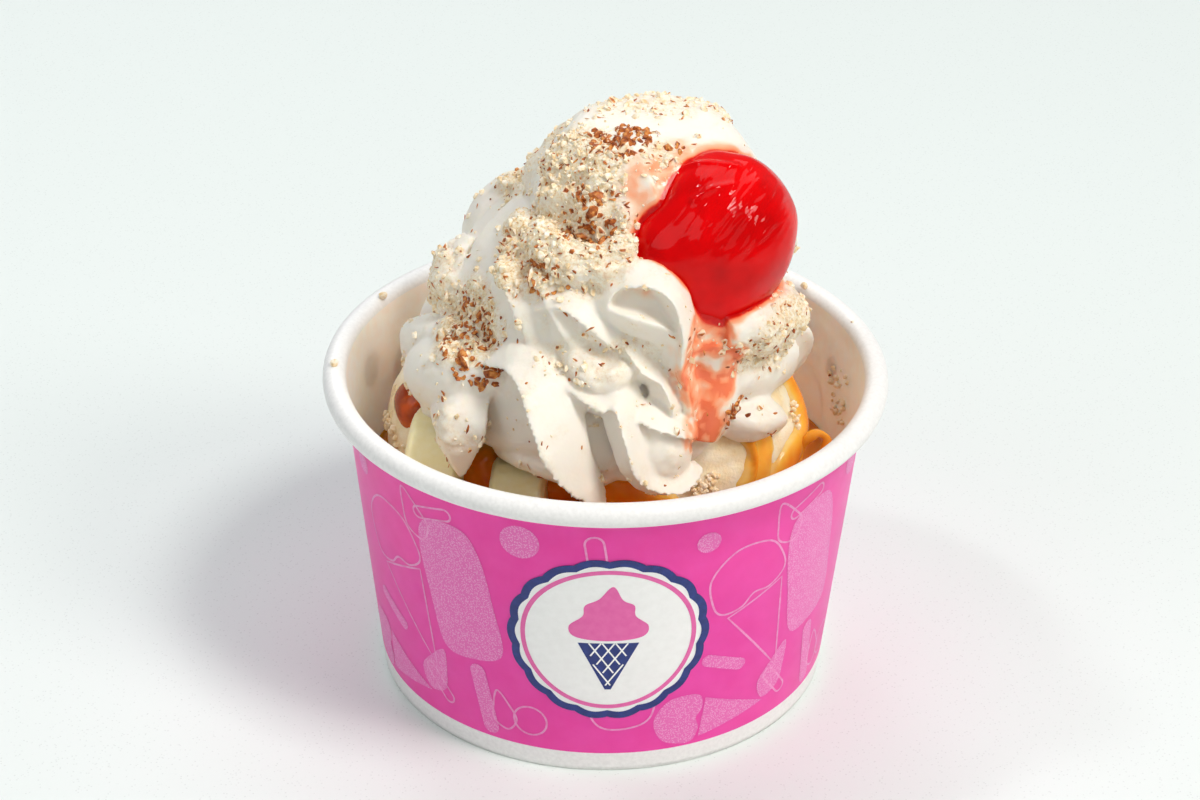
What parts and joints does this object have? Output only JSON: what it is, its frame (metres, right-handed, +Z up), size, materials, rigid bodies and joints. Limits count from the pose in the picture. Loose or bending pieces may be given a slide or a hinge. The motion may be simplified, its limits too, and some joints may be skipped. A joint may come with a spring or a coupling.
{
  "type": "ice cream sundae",
  "caption": "Paper cup of ice cream with banana slices and caramel, under piped whipped cream with chopped nuts and a cherry.",
  "frame": {"origin": "centre of the cup's standing ring, on the surface that it stands on", "axes": "+Z up along the cup's axis, -Y towards the viewer of the picture, +X to the viewer's right, where the cherry is"},
  "size_m": [0.095, 0.095, 0.1027],
  "materials": {
    "paperboard": "coated paperboard, printed pink round the wall, white at the rim and base",
    "ice_cream": "soft, slightly wet",
    "banana": "moist cut flesh",
    "caramel": "glossy, translucent",
    "cream": "satin, soft",
    "cherry": "wet, glossy"
  },
  "bodies": {
    "root": {"paper_cup": "paperboard", "ice_cream_right": "ice_cream", "ice_cream_left": "ice_cream", "banana_slice_1": "banana", "banana_slice_2": "banana", "caramel_sauce": "caramel", "whipped_cream": "cream", "cherry": "cherry"}
  },
  "joints": []
}
